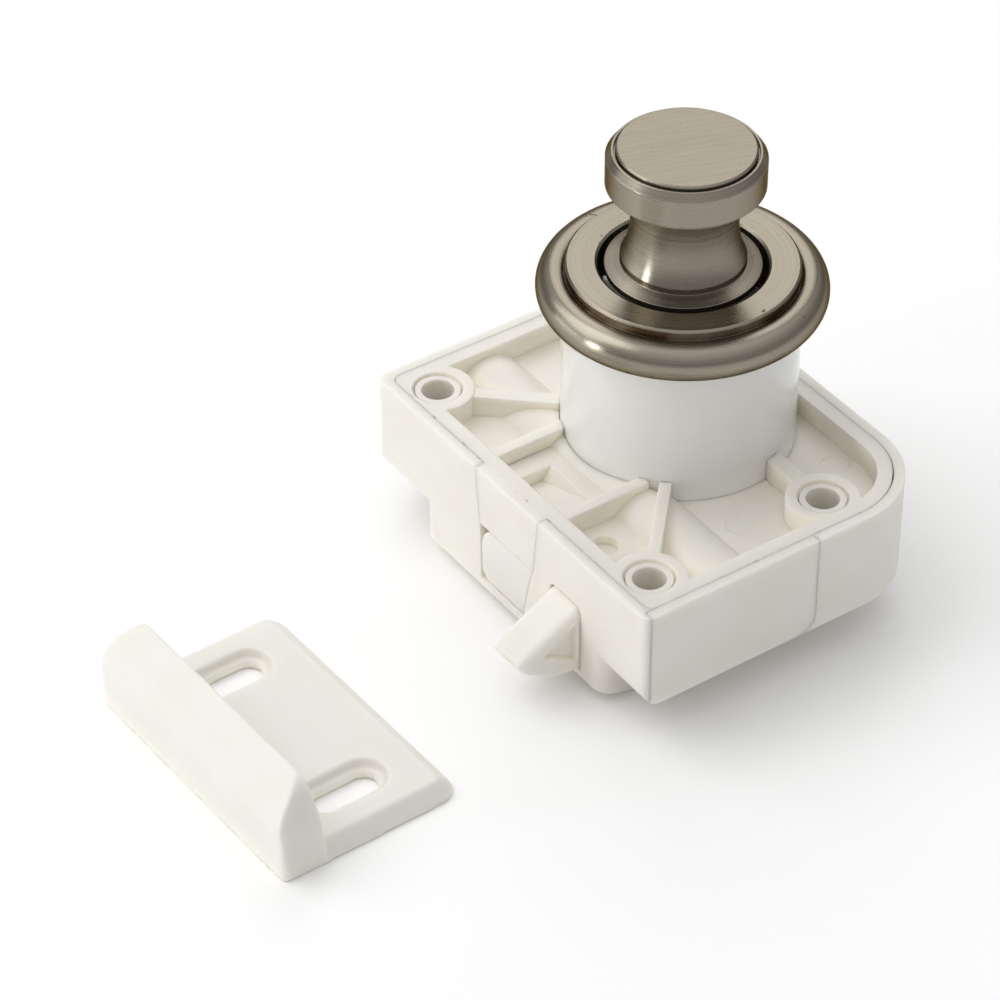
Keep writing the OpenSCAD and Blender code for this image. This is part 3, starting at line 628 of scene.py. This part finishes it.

# %% [markdown]
# ## The table
# The latch lies on white paper that is bright enough to vanish, and only its shadow stays.
# The table is part of the stage and not of the latch.

# %% Table
FLOOR_DROP = 0.05 * MM
TABLE_SIZE = 6
PAPER_SCALE = 40
PAPER_DARK = (0.975, 0.975, 0.975)
PAPER_LIGHT = (0.99, 0.99, 0.99)


def make_table():
    """White paper just under the latch."""
    bpy.ops.object.select_all(action="DESELECT")
    place = (0, 0, cad_box[0].z - FLOOR_DROP)
    bpy.ops.mesh.primitive_plane_add(size=TABLE_SIZE, location=place)
    table = bpy.context.object
    table.name = "table"
    material, tree, shader = start_material("table_paper")
    tone = blend_colours(tree, noise(tree, object_place(tree), PAPER_SCALE), PAPER_DARK, PAPER_LIGHT)
    feed(
        tree, shader,
        values={"Roughness": 0.9, "Specular IOR Level": 0.1},
        links={"Base Color": tone},
    )
    table.data.materials.append(material)
    return table


table = make_table()
print("table at", round(table.location.z / MM, 2), "mm")

# %% [markdown]
# ## The lamps
# A large soft lamp stands high on the left and makes the shadow. A panel behind shows as the even tone
# on the knob's flat top, and two low lamps in front draw the bright streak down the brushed knob
# without lighting the table much. Elevations are degrees, distances and sizes metres, powers watts.

# %% Lamps
LAMPS = {
    "key_lamp": {
        "side": (-0.75, -0.70), "elevation": 50, "distance": 1.4, "size": (1.1, 1.1), "power": 7.0,
    },
    "back_panel": {
        "side": (-0.82, 0.57), "elevation": 39, "distance": 1.2, "size": (0.7, 0.7), "power": 2.0,
    },
    "strip_lamp": {
        "side": (-0.22, -0.975), "elevation": 6, "distance": 1.2, "size": (0.18, 0.22), "power": 2.4,
    },
    "low_lamp": {
        "side": (-0.62, -0.78), "elevation": 8, "distance": 1.2, "size": (0.6, 0.28), "power": 1.2,
    },
}


def make_lamp(name, side, elevation, distance, size, power):
    """Soft lamp of a width and a height that looks at the button from a side."""
    data = bpy.data.lights.new(name, "AREA")
    data.energy = power
    data.shape = "RECTANGLE"
    data.size, data.size_y = size
    lamp = bpy.data.objects.new(name, data)
    bpy.context.scene.collection.objects.link(lamp)
    rise = math.radians(elevation)
    way = Vector((*side, 0)).normalized() * math.cos(rise) + Vector((0, 0, math.sin(rise)))
    lamp.location = way * distance
    lamp.rotation_mode = "QUATERNION"
    lamp.rotation_quaternion = (-way).to_track_quat("-Z", "Y")
    return lamp


for name, settings in LAMPS.items():
    make_lamp(name, **settings)
print("lamps:", ", ".join(LAMPS))

# %% [markdown]
# ## The room
# The room is bright overhead and dim at the sides, so the metal has something dark to mirror.
# Its strength grows with the height of the direction that is looked in.

# %% Room
ROOM_SIDES = 0.22
ROOM_ABOVE = 1.02
ROOM_CURVE = 1.5
WHITE = (1, 1, 1, 1)


def make_room():
    """Light from all round, stronger from above."""
    world = bpy.data.worlds.new("studio")
    bpy.context.scene.world = world
    world.use_nodes = True
    tree = world.node_tree
    way = add_node(tree, "TexCoord").outputs["Generated"]
    up = add_node(tree, "SeparateXYZ", links={"Vector": way}).outputs["Z"]
    lift = math_node(tree, "POWER", math_node(tree, "MAXIMUM", up, 0.0), ROOM_CURVE)
    strength = spread(tree, lift, 0.0, 1.0, ROOM_SIDES, ROOM_ABOVE)
    feed(tree, tree.nodes["Background"], {"Color": WHITE}, {"Strength": strength})
    return world


room = make_room()
bpy.context.scene.view_settings.view_transform = "Standard"
print("room:", room.name)
